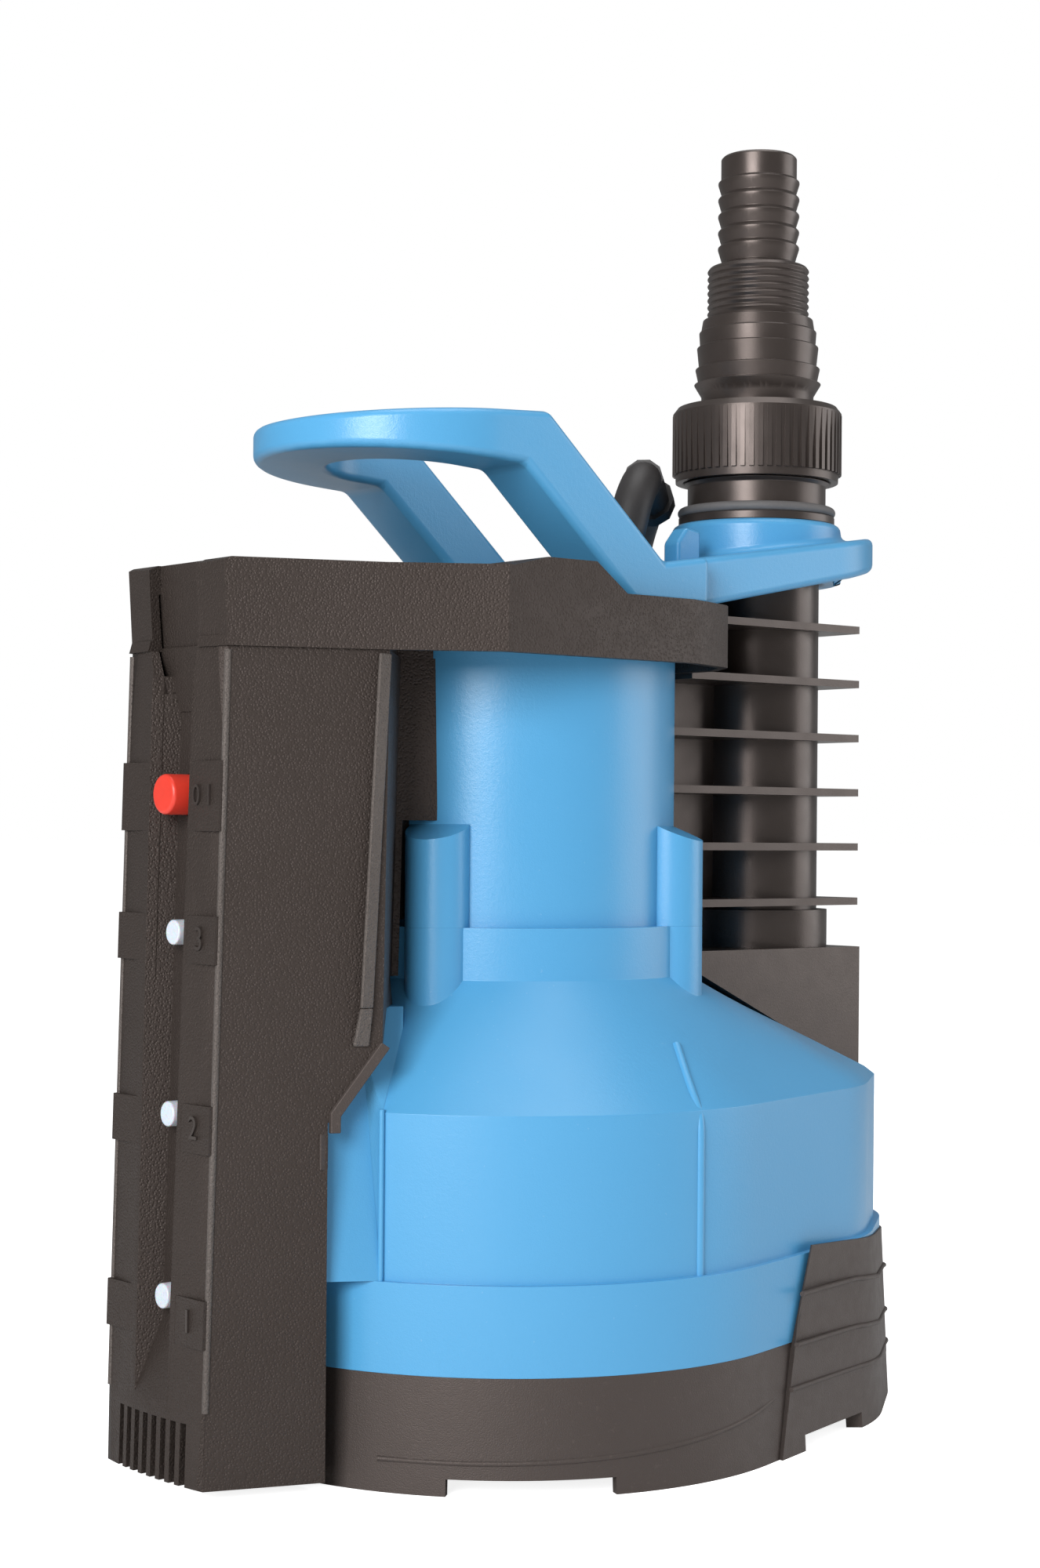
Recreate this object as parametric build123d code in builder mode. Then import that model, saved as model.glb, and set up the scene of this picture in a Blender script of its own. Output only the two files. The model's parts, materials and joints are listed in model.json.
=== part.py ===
from build123d import *
import os
from math import acos, atan, cos, degrees, pi, radians, sin, tan

os.makedirs("parts", exist_ok=True)

# Submersible clear-water pump with a level-sensor tower, a carrying handle and a pressure pipe.
# Millimetres, +Z up. The ground is z = 0. Plan coordinates count from the motor shaft's axis,
# and the shaft is set off along X so that the whole machine stands centred on the origin.

# ---- Plan outline: three circles on the X axis, joined by tangents ------------------------------
base_r = 90.0                   # round the motor
waist_x, waist_r = 60.0, 72.0   # shoulder towards the outlet
nose_x, nose_r = 95.0, 50.0     # round the outlet end
shoe_proud = 1.2                # the raised end of the base stands out by this
pad_x = base_r + 2              # the casing pad's flat end, against the tower
tower_reach = pad_x + 29.5      # shaft axis to the tower's outer face
pipe_x = 104.0                  # shaft axis to the pressure pipe's axis
shaft_x = (tower_reach - nose_x - nose_r - shoe_proud) / 2

# ---- Heights ------------------------------------------------------------------------------------
base_h = 32.0
band_h = 25.0
wall_h = 49.0
cone_h = 32.0
collar_h = 15.0
housing_h = 83.0
band_top = base_h + band_h
shoulder_z = band_top + wall_h
cone_top = shoulder_z + cone_h
seam_z = cone_top + collar_h
housing_top = seam_z + housing_h
tower_foot, tower_top = 3.0, housing_top - 6

# ---- Walls and clearances -----------------------------------------------------------------------
wall = 3.0
tower_wall = 2.5
fit = 0.2                       # between pieces that slide together when fitted
touch = 0.02                    # under a push fit on the shaft
running = 0.3                   # round what moves

# ---- Motor, shaft and impeller ------------------------------------------------------------------
motor_r = 50.0
motor_wall = 3.5
collar_r = motor_r + 4
shaft_r = 6.0
stator_r = motor_r - motor_wall - 0.5
stator_bore = stator_r - 21
stator_z, stator_h = seam_z + 7, housing_h - 28
rotor_r = stator_bore - 0.5
volute_low = band_top + 12
impeller_r, impeller_z = 40.0, volute_low + 3
bearing_r, bearing_h = 16.0, 10.0
lower_bearing_z, upper_bearing_z = shoulder_z + 2, housing_top - bearing_h - 2
seal_r, seal_h = 13.0, 8.0
hub_r = 20.0

# ---- Outlet -------------------------------------------------------------------------------------
pipe_r, pipe_bore = 20.6, 17.5
fin_t, fin_count, fin_low, fin_high = 2.4, 6, seam_z + 4.5, housing_top + 12.5
fin_depth = 25.0
fin_reach = 127.0
outlet_seat = housing_top + 45.5
thread_r, thread_pitch = 23.9, 2.309
stub_top = outlet_seat + 28.5
nut_r, nut_low, nut_high = 27.6, outlet_seat + 14, outlet_seat + 38.5
nut_gap = 0.5
neck_r = 18.4

# ---- Screws -------------------------------------------------------------------------------------
screw_r, head_r, head_h = 2.0, 4.0, 3.2
boss_r, boss_ring = 9.4, motor_r + 1
boss_angles = (152.7, 207.3, 302.5, 57.5)
screw_ring = motor_r + 4
boss_high, boss_low = seam_z + 29.5, seam_z + 21

# ---- Mains lead ---------------------------------------------------------------------------------
lead_d = 8.5
boot_r = 6.2


def level(z, x=0.0, y=0.0):
    """A horizontal plane at height z whose origin is x, y from the shaft axis."""
    return Plane(origin=(shaft_x + x, y, z))


def upright(y=0.0):
    """A vertical plane along X whose local axes are X from the shaft axis and Z."""
    return Plane(origin=(shaft_x, y, 0), x_dir=(1, 0, 0), z_dir=(0, -1, 0))


def spot(x, r, angle):
    """The point of a circle about (x, 0) at an angle in degrees."""
    return (x + r * cos(radians(angle)), r * sin(radians(angle)))


def arc_about(x, r, start, end):
    """An arc about (x, 0) from one angle to another, in degrees."""
    return ThreePointArc(spot(x, r, start), spot(x, r, (start + end) / 2), spot(x, r, end))


base_turn = degrees(acos((base_r - waist_r) / waist_x))
nose_turn = degrees(acos((waist_r - nose_r) / (nose_x - waist_x)))


def outline(grow):
    """The plan outline, grown or shrunk all round, as a face in the current sketch."""
    a, b, c = base_r + grow, waist_r + grow, nose_r + grow
    with BuildLine() as rim:
        arc_about(0, a, base_turn, 360 - base_turn)
        Line(spot(0, a, -base_turn), spot(waist_x, b, -base_turn))
        arc_about(waist_x, b, -base_turn, -nose_turn)
        Line(spot(waist_x, b, -nose_turn), spot(nose_x, c, -nose_turn))
        arc_about(nose_x, c, -nose_turn, nose_turn)
        Line(spot(nose_x, c, nose_turn), spot(waist_x, b, nose_turn))
        arc_about(waist_x, b, nose_turn, base_turn)
        Line(spot(waist_x, b, base_turn), spot(0, a, base_turn))
    make_face(rim.edges())


def ring_outline(r):
    """A circle about the shaft, cut into as many edges as the plan outline has."""
    stops = (base_turn, 360 - base_turn, 300, 310, 325, 395, 410, 420, 360 + base_turn)
    with BuildLine() as rim:
        for start, end in zip(stops, stops[1:]):
            arc_about(0, r, start, end)
    make_face(rim.edges())


def slab(grow, low, high):
    """A straight-walled block of the plan outline."""
    with BuildSketch(level(low)) as plan:
        outline(grow)
    extrude(plan.sketch, amount=high - low)


def taper(grow_low, low, grow_high, high, mode=Mode.ADD):
    """A block of the plan outline whose walls lean."""
    with BuildSketch(level(low)) as bottom:
        outline(grow_low)
    with BuildSketch(level(high)) as top:
        outline(grow_high)
    loft([bottom.sketch, top.sketch], ruled=True, mode=mode)


def disc(r, low, high, x=0.0, y=0.0, mode=Mode.ADD):
    """An upright cylinder at x, y from the shaft axis."""
    with BuildSketch(level(low, x, y)) as plan:
        Circle(r)
    extrude(plan.sketch, amount=high - low, mode=mode)


def tube(r, bore, low, high, x=0.0):
    """An upright tube at x from the shaft axis."""
    with BuildSketch(level(low, x)) as plan:
        Circle(r)
        Circle(bore, mode=Mode.SUBTRACT)
    extrude(plan.sketch, amount=high - low)


def block(x0, x1, half_y, low, high, mode=Mode.ADD):
    """A box between two X values, symmetric about Y = 0."""
    with BuildSketch(level(low)) as plan:
        with Locations(((x0 + x1) / 2, 0)):
            Rectangle(x1 - x0, 2 * half_y)
    extrude(plan.sketch, amount=high - low, mode=mode)


def side_cut(points, half_y, mode=Mode.SUBTRACT):
    """A prism along Y whose outline is given in X and Z."""
    with BuildSketch(upright()) as side:
        Polygon(*points, align=None)
    extrude(side.sketch, amount=half_y, both=True, mode=mode)


def round_set(places, r, low, high, mode=Mode.ADD):
    """Upright cylinders at several places in plan."""
    with BuildSketch(level(low)) as plan:
        with Locations(*places):
            Circle(r)
    extrude(plan.sketch, amount=high - low, mode=mode)


def turned(points, x=0.0, mode=Mode.ADD):
    """A solid of revolution about the upright axis at x, from its outline in radius and height."""
    with BuildSketch(upright()) as half:
        with Locations((x, 0)):
            Polygon(*points, align=None)
    axis = Axis((shaft_x + x, 0, 0), (0, 0, 1))
    revolve(half.sketch, axis=axis, mode=mode)


def save(piece, name):
    """Label one finished piece and write it."""
    piece.part.label = name
    export_step(piece.part, f"parts/{name}.step")



# =================================================================================================
# Strainer base: a skirt on feet, a deck with the inlet, and a raised shoe round the outlet end
# =================================================================================================
deck_t = 3.5
inlet_r = 24.0
notch_h = 4.7
notches = ((220.6, 250.8), (301.0, 320.7))
shoe_top, shoe_treads = 53.0, 4
tread_step = 0.7
skirt_lean = 2.0
shoe_front, shoe_lean = 34.0, 0.3
base_screw_ring = base_r - 12
base_screw_spots = [spot(0, base_screw_ring, angle) for angle in (80, 130, 230, 280)]

with BuildPart() as shoe:
    tread_h = shoe_top / shoe_treads
    for tread in range(shoe_treads):
        low = tread * tread_h
        grow = shoe_proud - tread * 2 * shoe_proud / shoe_treads
        taper(grow, low, grow - tread_step, low + tread_h)
    with BuildSketch(level(0)):
        outline(fit / 2 - skirt_lean)
    extrude(amount=shoe_top, mode=Mode.SUBTRACT)
    side_cut([(-200, -1), (shoe_front, -1), (shoe_front + shoe_lean * (shoe_top + 1), shoe_top + 1),
              (-200, shoe_top + 1)], 2 * base_r)

with BuildPart() as strainer_base:
    taper(0, 0, -skirt_lean, base_h)
    add(shoe.part)
    taper(-wall, 0, -skirt_lean - wall, base_h - deck_t, Mode.SUBTRACT)
    disc(inlet_r, 0, base_h, mode=Mode.SUBTRACT)
    for start, end in notches:
        for side in (1, -1):
            with BuildSketch(level(0)):
                Polygon(*[(r * cos(radians(a)), side * r * sin(radians(a)))
                          for r, a in ((60, start), (150, start), (150, end), (60, end))], align=None)
            extrude(amount=notch_h, mode=Mode.SUBTRACT)
    round_set(base_screw_spots, screw_r + fit, 0, base_h, Mode.SUBTRACT)
save(strainer_base, "strainer_base")

# =================================================================================================
# Pump casing: band, wall, shoulder and cone, with a pad behind the tower and a slope at the outlet
# =================================================================================================
shoulder, band_step = 3.0, 2.0
boss_spots = [spot(0, boss_ring, angle) for angle in boss_angles]
screw_spots = [spot(0, screw_ring, angle) for angle in boss_angles]
boss_drop = 14.0
screw_post_r, screw_post_h = 7.5, 22.0
base_thread = 18.0
head_seat = cone_top - 6
bracket_rim, bracket_bore = motor_r - 5.6, motor_r - 8
spigot_r = 19.0
o_ring_mid, o_ring_r = motor_r - 1.8, 0.9
pad_corner, pad_end_y = (pad_x - 14.7, 40.3), 32.0
pad_root = (collar_r + 6, 27.0)
pad_low, pad_high = shoulder_z - 5.5, shoulder_z + 25
pad_t = 5.0
pad_top_x = pad_x - 21.5
slope_x, slope_z = (62.0, 125.0), (shoulder_z + 27.4, shoulder_z - 2.5)
slope_run = (slope_z[1] - slope_z[0]) / (slope_x[1] - slope_x[0])
pad_run = (pad_high - pad_low) / (pad_x - pad_top_x)


def slope_at(x):
    """Height of the sloping outlet shoulder at x."""
    return slope_z[0] + slope_run * (x - slope_x[0])


def pad_top_at(x):
    """Height of the pad's sloping top at x."""
    return pad_low + pad_run * (x + pad_x)


def casing_body(shrink, low):
    """The casing's closed form, or the hollow inside it when shrunk by its wall."""
    with BuildPart() as body:
        inset = skirt_lean + shrink
        slab(-inset, low, band_top - shrink)
        inset += band_step
        slab(-inset, band_top - shrink, shoulder_z - shoulder)
        taper(-inset, shoulder_z - shoulder, -inset - shoulder, shoulder_z)
        with BuildSketch(level(shoulder_z)):
            outline(-inset - shoulder)
        with BuildSketch(level(cone_top - shrink)):
            ring_outline(collar_r - shrink)
        loft(ruled=True)
        far, near = nose_x + nose_r, collar_r - skirt_lean
        side_cut([(near, slope_at(near) - shrink), (far, slope_at(far) - shrink), (far, 2 * seam_z),
                  (near, 2 * seam_z)], 2 * base_r)
    return body.part


with BuildPart() as pump_casing:
    add(casing_body(0, base_h))
    with BuildSketch(level(band_top)):
        Polygon((-pad_x, -pad_end_y), (-pad_corner[0], -pad_corner[1]), (-pad_root[0], -pad_root[1]),
                (-pad_root[0], pad_root[1]), (-pad_corner[0], pad_corner[1]), (-pad_x, pad_end_y), align=None)
    extrude(amount=pad_high - band_top)
    far = -pad_x - pad_t
    side_cut([(far, pad_top_at(far)), (-pad_top_x, pad_high), (-pad_top_x, 2 * pad_high),
              (far, 2 * pad_high)], base_r)
    add(casing_body(wall, base_h), mode=Mode.SUBTRACT)
    disc(collar_r, cone_top - wall, seam_z)
    round_set(boss_spots, boss_r, cone_top - boss_drop, seam_z)
    round_set(base_screw_spots, screw_post_r, base_h, base_h + screw_post_h)
    disc(bracket_bore, shoulder_z, seam_z, mode=Mode.SUBTRACT)
    disc(bracket_rim + fit, seam_z - wall, seam_z, mode=Mode.SUBTRACT)
    disc(spigot_r + fit, band_top, seam_z, x=pipe_x, mode=Mode.SUBTRACT)
    round_set(base_screw_spots, screw_r, base_h, base_h + base_thread, Mode.SUBTRACT)
    round_set(screw_spots, screw_r + fit, cone_top - boss_drop, seam_z, Mode.SUBTRACT)
    round_set(screw_spots, head_r + fit, cone_top - boss_drop, head_seat, Mode.SUBTRACT)
    with BuildSketch(level(seam_z - 2 * o_ring_r)):
        Circle(o_ring_mid + o_ring_r + running)
        Circle(o_ring_mid - o_ring_r - running, mode=Mode.SUBTRACT)
    extrude(amount=2 * o_ring_r, mode=Mode.SUBTRACT)
save(pump_casing, "pump_casing")

# =================================================================================================
# Hydraulics: suction plate, volute with its duct, impeller and its nut
# =================================================================================================
plate_t = 3.0
volute_r = 60.0
volute_high = volute_low + 26
duct_half, duct_reach = 20.0, 124.0
hub_gap = 1.0
vane_count, vane_t, vane_h, vane_sweep = 6, 2.4, 17.0, 50.0
shroud_t, hub_h = 3.0, 24.0
inlet_wall = 4.0
impeller_hub_r = 12.0
nut_flats, nut_t = 16.0, 7.0

with BuildPart() as suction_plate:
    disc(volute_r + plate_t, volute_low - plate_t, volute_low)
    disc(inlet_r - fit, base_h - deck_t, volute_low)
    disc(inlet_r + inlet_wall, base_h, volute_low - plate_t)
    disc(inlet_r - inlet_wall, base_h - deck_t, volute_low, mode=Mode.SUBTRACT)
save(suction_plate, "suction_plate")

with BuildPart() as volute:
    disc(volute_r + plate_t, volute_low, volute_high + plate_t)
    block(0, duct_reach, duct_half + plate_t, volute_low, volute_high + plate_t)
    disc(volute_r, volute_low, volute_high, mode=Mode.SUBTRACT)
    block(0, duct_reach - plate_t, duct_half, volute_low + plate_t, volute_high, Mode.SUBTRACT)
    disc(hub_r + hub_gap, volute_low, volute_high + plate_t, mode=Mode.SUBTRACT)
    disc(pipe_bore, volute_high - 1, volute_high + plate_t, x=pipe_x, mode=Mode.SUBTRACT)
save(volute, "volute")

with BuildPart() as impeller:
    disc(impeller_r, impeller_z + vane_h - 1, impeller_z + vane_h - 1 + shroud_t)
    disc(impeller_hub_r, impeller_z, impeller_z + hub_h)
    with BuildSketch(level(impeller_z)) as vanes:
        with BuildLine() as vane:
            for index in range(vane_count):
                turn = index * 360 / vane_count
                RadiusArc(spot(0, impeller_hub_r - 1, turn), spot(0, impeller_r - 2, turn + vane_sweep),
                          -impeller_r)
        trace(vane.edges(), line_width=vane_t)
    extrude(vanes.sketch, amount=vane_h)
    disc(shaft_r + touch, impeller_z, impeller_z + hub_h, mode=Mode.SUBTRACT)
save(impeller, "impeller")

with BuildPart() as impeller_nut:
    with BuildSketch(level(impeller_z - nut_t)):
        RegularPolygon(nut_flats / 2, 6, major_radius=False)
        Circle(shaft_r + touch, mode=Mode.SUBTRACT)
    extrude(amount=nut_t)
save(impeller_nut, "impeller_nut")

# =================================================================================================
# Motor: bearing bracket, seal, bearings, shaft, rotor, stator and windings
# =================================================================================================
shaft_low, shaft_high = impeller_z - nut_t - 2, upper_bearing_z + bearing_h - 0.5
ring_t = 2.6
ball_count = 8
seal_lip = 2.0
bracket_low = lower_bearing_z - seal_h - seal_lip
shaft_room = 1.5

with BuildPart() as bearing_bracket:
    disc(bracket_rim, seam_z - wall, seam_z)
    disc(hub_r, bracket_low, seam_z)
    disc(bearing_r + touch, lower_bearing_z, seam_z, mode=Mode.SUBTRACT)
    disc(shaft_r + shaft_room, bracket_low, seam_z, mode=Mode.SUBTRACT)
    disc(seal_r + touch, bracket_low, lower_bearing_z - seal_lip, mode=Mode.SUBTRACT)
save(bearing_bracket, "bearing_bracket")

with BuildPart() as shaft_seal:
    tube(seal_r, shaft_r + touch, bracket_low, lower_bearing_z - seal_lip)
save(shaft_seal, "shaft_seal")

bearings = (lower_bearing_z, upper_bearing_z)
ball_r = (bearing_r - shaft_r - 2 * ring_t) / 2 - 0.05
ball_ring = (bearing_r + shaft_r) / 2

with BuildPart() as bearing_outer_rings:
    for low in bearings:
        tube(bearing_r, bearing_r - ring_t, low, low + bearing_h)
save(bearing_outer_rings, "bearing_outer_rings")

with BuildPart() as bearing_inner_rings:
    for low in bearings:
        tube(shaft_r + ring_t, shaft_r + touch, low, low + bearing_h)
save(bearing_inner_rings, "bearing_inner_rings")

with BuildPart() as bearing_balls:
    for low in bearings:
        with Locations(level(low + bearing_h / 2)):
            with PolarLocations(ball_ring, ball_count):
                Sphere(ball_r)
save(bearing_balls, "bearing_balls")

with BuildPart() as shaft:
    disc(shaft_r, shaft_low, shaft_high)
save(shaft, "shaft")

with BuildPart() as rotor_core:
    tube(rotor_r, shaft_r + touch, stator_z, stator_z + stator_h)
    chamfer(edges().filter_by(GeomType.CIRCLE).sort_by(SortBy.RADIUS)[-2:], 1)
save(rotor_core, "rotor_core")

with BuildPart() as stator_core:
    tube(stator_r, stator_bore, stator_z, stator_z + stator_h)
save(stator_core, "stator_core")

winding_h, winding_in, winding_out = 6.5, 3.0, 4.0
with BuildPart() as stator_windings:
    for low in (stator_z - winding_h, stator_z + stator_h):
        tube(stator_r - winding_out, stator_bore + winding_in, low, low + winding_h)
save(stator_windings, "stator_windings")

with BuildPart() as housing_o_ring:
    with Locations(level(seam_z - o_ring_r)):
        Torus(o_ring_mid, o_ring_r)
save(housing_o_ring, "housing_o_ring")

# =================================================================================================
# Motor housing: a cup over the motor with four screw bosses whose tops slope outwards
# =================================================================================================
inner_r = motor_r - motor_wall
ledge_z, ledge_w = stator_z + stator_h, 3.0
boss_reach = 20.0
with BuildPart() as motor_housing:
    disc(motor_r, seam_z, housing_top)
    round_set(boss_spots, boss_r, seam_z, housing_top)
    turned([(motor_r, boss_high), (motor_r + boss_reach, boss_low), (motor_r + boss_reach, housing_top),
            (motor_r, housing_top)], mode=Mode.SUBTRACT)
    disc(inner_r, seam_z, ledge_z, mode=Mode.SUBTRACT)
    disc(inner_r - ledge_w, ledge_z, upper_bearing_z, mode=Mode.SUBTRACT)
    disc(bearing_r + touch, upper_bearing_z - 1, upper_bearing_z + bearing_h, mode=Mode.SUBTRACT)
    disc(shaft_r + shaft_room, upper_bearing_z, upper_bearing_z + bearing_h, mode=Mode.SUBTRACT)
    round_set(screw_spots, screw_r, seam_z, boss_low - 3, Mode.SUBTRACT)
save(motor_housing, "motor_housing")

screw_tip = 4.0
with BuildPart() as housing_screws:
    round_set(screw_spots, head_r, head_seat - head_h, head_seat)
    round_set(screw_spots, screw_r - touch, head_seat, boss_low - screw_tip)
save(housing_screws, "housing_screws")

with BuildPart() as base_screws:
    deck_low = base_h - deck_t
    round_set(base_screw_spots, head_r, deck_low - head_h, deck_low)
    round_set(base_screw_spots, screw_r - touch, deck_low, base_h + base_thread - 2)
save(base_screws, "base_screws")

# =================================================================================================
# Sensor tower: a box with an arched, grooved face, standing on the casing's pad
# =================================================================================================
face_x, face_y = tower_reach - 2, 24.5    # corner between the arched face and the side panel
crease_x, crease_y = pad_x - 14, 41.6     # corner where the side turns in to the housing
nook_x, nook_y = collar_r + 1.5, 16.5     # the recess that the boss stands in
inner_x, inner_y = motor_r - 5, 22.3      # where the side meets the housing
groove_half, groove_floor = 6.0, tower_reach - 7
scoop_low, scoop_high = 22.0, 45.0
lead_in_low = tower_top - 12
floor_t = 2.5
slot_w, slot_pitch, slot_count, slot_top = 2.5, 4.5, 4, 20.0
panel_spans = ((41, 54), (93, 106), (144, 157), (180, 199))
peg_r, peg_heights = 3.5, (52.0, 102.0, 152.0)
button_z, button_r, button_travel = tower_top - 40, 5.6, 3.0
back_floor = pad_high + 3
board_x, board_t, board_half = groove_floor - 8.4, 1.6, 15.0
board_low, board_high = 45.0, tower_top - 25
tower_gap, boss_gap = 2.0, 1.0
lead_in_wide = 20.0
panel_w, panel_t, panel_off = 14.0, 3.0, 9.5
slot_deep = 14.0
peg_head_h, peg_step = 3.2, 1.2
well_depth = 12.0
beyond = 5.0                    # how far cuts run past what they cut


def tower_plan(shrink):
    """The tower's plan outline, shrunk all round by its wall when asked."""
    side = atan((crease_y - face_y) / (face_x - crease_x))
    recess = atan((crease_y - nook_y) / (crease_x - nook_x))
    half = [(-face_x + shrink, face_y - shrink * (tan(side / 2) + 0.2)),
            (-crease_x - 0.27 * shrink, crease_y - 1.2 * shrink),
            (-nook_x - shrink * sin(recess), nook_y - shrink * cos(recess)),
            (-inner_x - shrink, inner_y - 2.5 * shrink)]
    far = [(x, -y) for x, y in half]
    with BuildLine() as rim:
        ThreePointArc(half[0], (-tower_reach + shrink, 0), far[0])
        Polyline(*far, *reversed(half))
    make_face(rim.edges())


with BuildPart() as tower_hollow:
    with BuildSketch(level(tower_foot + floor_t)) as hollow_plan:
        tower_plan(tower_wall)
    extrude(hollow_plan.sketch, amount=tower_top - tower_foot)
    side_cut([(-pad_x + tower_wall, 0), (0, 0), (0, back_floor), (-pad_x + tower_wall, back_floor)],
             crease_y + beyond)
    block(-tower_reach - 1, -groove_floor + tower_wall, groove_half + tower_wall, 0, tower_top + beyond,
          Mode.SUBTRACT)
    block(-tower_reach - 1, -groove_floor + tower_wall, crease_y, 0, scoop_high, Mode.SUBTRACT)
    disc(collar_r + tower_gap + tower_wall, 0, tower_top + beyond, mode=Mode.SUBTRACT)
    round_set(boss_spots[:2], boss_r + boss_gap + tower_wall, 0, tower_top + beyond, Mode.SUBTRACT)

with BuildPart() as sensor_tower:
    with BuildSketch(level(tower_foot)) as tower_face:
        tower_plan(0)
    extrude(tower_face.sketch, amount=tower_top - tower_foot)
    side_cut([(-pad_x, 0), (0, 0), (0, pad_top_at(-pad_top_x) + fit), (-pad_top_x, pad_high + fit),
              (-pad_x, pad_low + fit)], crease_y + beyond)
    disc(motor_r + running, 0, tower_top, mode=Mode.SUBTRACT)
    disc(collar_r + tower_gap, 0, seam_z + tower_gap, mode=Mode.SUBTRACT)
    disc(collar_r + 4 * tower_gap, 0, cone_top + 1, mode=Mode.SUBTRACT)
    round_set(boss_spots[:2], boss_r + boss_gap, 0, boss_high + boss_gap, Mode.SUBTRACT)
    block(-tower_reach - 1, -groove_floor, groove_half, scoop_high, tower_top, Mode.SUBTRACT)
    side_cut([(-groove_floor, scoop_high), (-tower_reach - 1, scoop_low), (-tower_reach - 1, scoop_high)],
             groove_half)
    with BuildSketch(level(tower_top)) as mouth:
        with Locations((-face_x, 0)):
            Rectangle(lead_in_wide, 4 * groove_half)
    with BuildSketch(level(lead_in_low)) as throat:
        with Locations((-face_x, 0)):
            Rectangle(lead_in_wide, 2 * groove_half)
    loft([throat.sketch, mouth.sketch], ruled=True, mode=Mode.SUBTRACT)
    for low, high in panel_spans:
        for side in (1, -1):
            with BuildSketch(level(low)) as panel:
                with Locations((-tower_reach + panel_t / 2, side * (groove_half + panel_off))):
                    Rectangle(panel_t, panel_w)
            extrude(panel.sketch, amount=high - low)
    for index in range(slot_count):
        for side in (1, -1):
            with BuildSketch(level(0)) as slot:
                with Locations((-tower_reach, side * (index + 0.5) * slot_pitch)):
                    Rectangle(slot_deep, slot_w)
            extrude(slot.sketch, amount=slot_top, mode=Mode.SUBTRACT)
    add(tower_hollow.part, mode=Mode.SUBTRACT)
    for height in peg_heights:
        with BuildSketch(Plane(origin=(shaft_x - groove_floor - beyond, 0, height), z_dir=(1, 0, 0))) as hole:
            Circle(peg_r - peg_step + fit)
        extrude(hole.sketch, amount=well_depth, mode=Mode.SUBTRACT)
    with BuildSketch(Plane(origin=(shaft_x - groove_floor - beyond, 0, button_z), z_dir=(1, 0, 0))) as well:
        Circle(button_r + running)
    extrude(well.sketch, amount=well_depth, mode=Mode.SUBTRACT)
save(sensor_tower, "sensor_tower")


def along_x(r, x0, x1, height):
    """A round bar along X between two X values."""
    with BuildSketch(Plane(origin=(shaft_x + x0, 0, height), z_dir=(1, 0, 0))) as end:
        Circle(r)
    extrude(end.sketch, amount=x1 - x0)


with BuildPart() as sensor_pegs:
    for height in peg_heights:
        along_x(peg_r, -groove_floor - peg_head_h, -groove_floor, height)
        along_x(peg_r - peg_step, -groove_floor, -board_x, height)
save(sensor_pegs, "sensor_pegs")

with BuildPart() as control_board:
    block(-board_x, -board_x + board_t, board_half, board_low, board_high)
save(control_board, "control_board")

switch_t, switch_half = 2.0, 4.0
with BuildPart() as selector_switch:
    block(-board_x - switch_t, -board_x, switch_half, button_z - switch_half, button_z + switch_half)
save(selector_switch, "selector_switch")

button_back = -board_x - switch_t - button_travel - running
button_proud, button_edge, stem_r = 8.5, 1.2, 1.2
spring_r, spring_bore = 2.4, 1.6
with BuildPart() as selector_button:
    along_x(button_r, -groove_floor - button_proud, -groove_floor + 1, button_z)
    fillet(faces().sort_by(Axis.X)[0].edges(), button_edge)
    along_x(stem_r, -groove_floor + 1, button_back, button_z)
save(selector_button, "selector_button")

with BuildPart() as button_spring:
    with BuildSketch(Plane(origin=(shaft_x - groove_floor + 1 + touch, 0, button_z), z_dir=(1, 0, 0))):
        Circle(spring_r)
        Circle(spring_bore, mode=Mode.SUBTRACT)
    extrude(amount=groove_floor - board_x - switch_t - 1 - 2 * touch)
save(button_spring, "button_spring")

capacitor_r, capacitor_h = 11.0, 66.0
capacitor_x = board_x - capacitor_r - 9.6
with BuildPart() as run_capacitor:
    disc(capacitor_r, back_floor, back_floor + capacitor_h, x=-capacitor_x)
save(run_capacitor, "run_capacitor")

# =================================================================================================
# Top cap: a hood over tower and motor, its top falling away to the seat of the handle's foot
# =================================================================================================
cap_side_y, cap_corner_x = 60.6, 50.0
cap_end_x, cap_end_y = 52.0, 44.0
cap_round_x = 20.0
cap_edge_z, cap_crown_z, cap_seat_z = tower_top + 24, tower_top + 27, tower_top + 18.6
crown_start, crown_end, seat_start = -36.0, -18.0, 8.0
deck_under = tower_top + 16
cap_slant, cap_bevel = 4.0, 12.0
cap_corner, cap_back_x, cap_back_y = 2.0, 10.0, 8.0
groove_gap = 2.0
gland_x, gland_y = 44.2, 3.0
gland_hole = boot_r + 0.3
shelf_hole, boot_lean = boot_r + 1.8, 1.2
rib_r, rib_t = 43.0, 3.0
outer_screw_r, inner_screw_r = rib_r + head_r + 2.5, rib_r - rib_t - head_r - 1
handle_screw_spots = [spot(0, r, angle) for r, turn in ((outer_screw_r, 43.4), (inner_screw_r, 66.4))
                      for angle in (turn, -turn)]


def cap_plan(shrink):
    """The cap's plan outline."""
    half = [(-tower_reach + shrink, 0), (-face_x + shrink, face_y - shrink * 0.4),
            (-crease_x, crease_y - shrink * 1.1), (-cap_corner_x, cap_side_y - shrink * 1.1),
            (cap_round_x, cap_side_y - shrink),
            (cap_end_x - cap_back_x - shrink / 2, cap_end_y + cap_back_y - shrink),
            (cap_end_x - shrink, cap_end_y - cap_back_y)]
    Polygon(*half, *[(x, -y) for x, y in reversed(half[1:])], align=None)


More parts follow.
